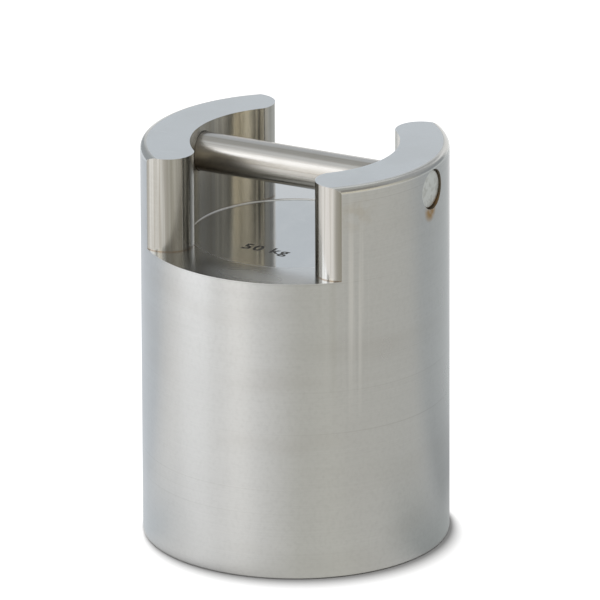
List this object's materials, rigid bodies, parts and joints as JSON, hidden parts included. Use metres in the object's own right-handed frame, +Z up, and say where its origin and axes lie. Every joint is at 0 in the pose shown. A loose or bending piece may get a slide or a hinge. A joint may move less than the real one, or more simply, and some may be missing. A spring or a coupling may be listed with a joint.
{
  "type": "calibration weight",
  "caption": "Heavy cylindrical steel calibration weight with two crescent horns on a flat deck and a round lifting bar through them.",
  "frame": {"origin": "centre of the base, on the surface that the weight stands on", "axes": "+Z up along the turned axis, X along the lifting bar, Y across it through the slot"},
  "size_m": [0.193, 0.193, 0.256],
  "materials": {
    "turned_steel": "satin turned side, ground horn tops and near-mirror deck",
    "drawn_steel": "fine polished bar with a slightly warm tone"
  },
  "bodies": {
    "root": {"weight_body": "turned_steel", "handle_bar": "drawn_steel"}
  },
  "joints": []
}
